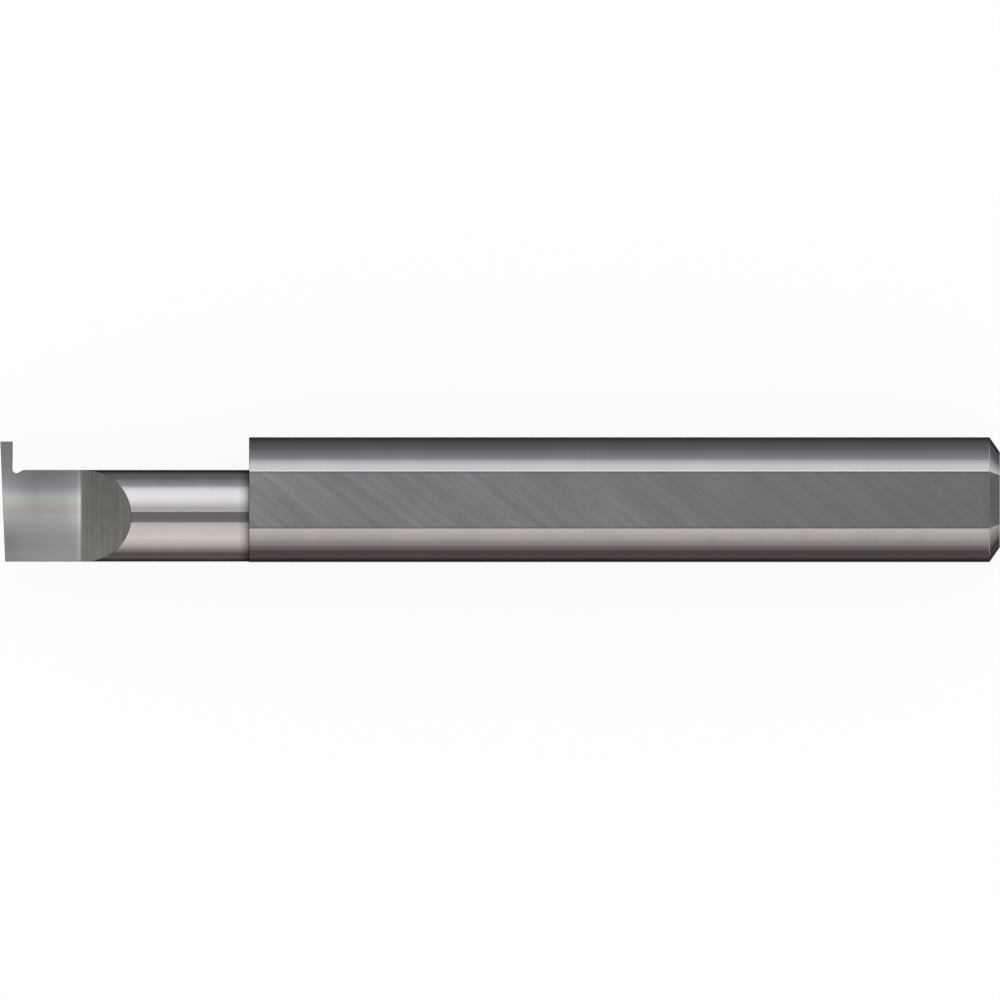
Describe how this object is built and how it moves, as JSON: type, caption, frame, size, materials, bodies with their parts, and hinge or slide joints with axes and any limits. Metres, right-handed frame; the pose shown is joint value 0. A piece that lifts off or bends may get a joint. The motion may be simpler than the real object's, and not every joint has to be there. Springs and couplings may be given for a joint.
{
  "type": "grooving tool",
  "caption": "Solid carbide internal grooving tool: round shank with a clamping flat, off-centre neck and half-round head with a narrow grooving tooth.",
  "frame": {"origin": "centre of the tool's length, straight under the shank's axis, on the lowest line of the shank", "axes": "+X along the shank from the cutting end to the back end, +Z out of the clamping flat and the rake face, +Y to the side that the tooth reaches out to"},
  "size_m": [0.0636, 0.008, 0.0075],
  "materials": {
    "carbide": "bare tungsten carbide, ground and polished"
  },
  "bodies": {
    "root": {"grooving_tool": "carbide"}
  },
  "joints": []
}
